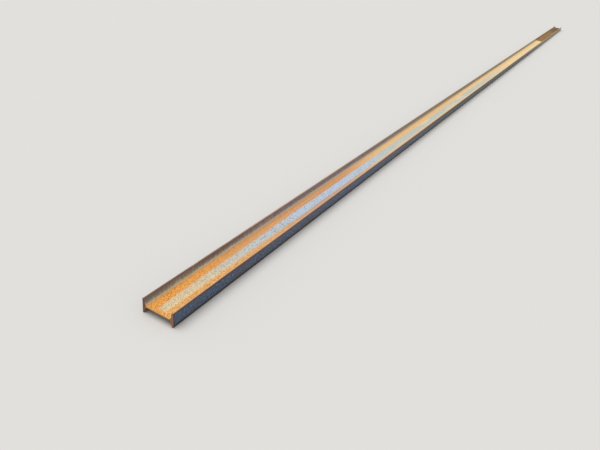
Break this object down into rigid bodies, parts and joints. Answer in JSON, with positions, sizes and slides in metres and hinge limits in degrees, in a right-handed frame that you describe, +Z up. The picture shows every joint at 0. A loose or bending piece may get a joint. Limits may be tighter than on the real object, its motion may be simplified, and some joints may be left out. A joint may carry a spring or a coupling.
{
  "type": "steel i-beam",
  "caption": "Long light rolled steel I-beam with tapered flanges, weathered with rust over mill scale, lying flat with its web level.",
  "frame": {"origin": "under the middle of the beam's length, on the floor that its lower flange toes rest on", "axes": "+X along the beam, away from the end nearest the camera; +Y across its depth, square to the flanges; +Z up, square to the web"},
  "size_m": [9, 0.1, 0.045],
  "materials": {
    "rusted_mill_scale_steel": "hot-rolled mild steel, blue-grey mill scale breaking into orange rust, matt"
  },
  "bodies": {
    "root": {"i_beam": "rusted_mill_scale_steel"}
  },
  "joints": []
}
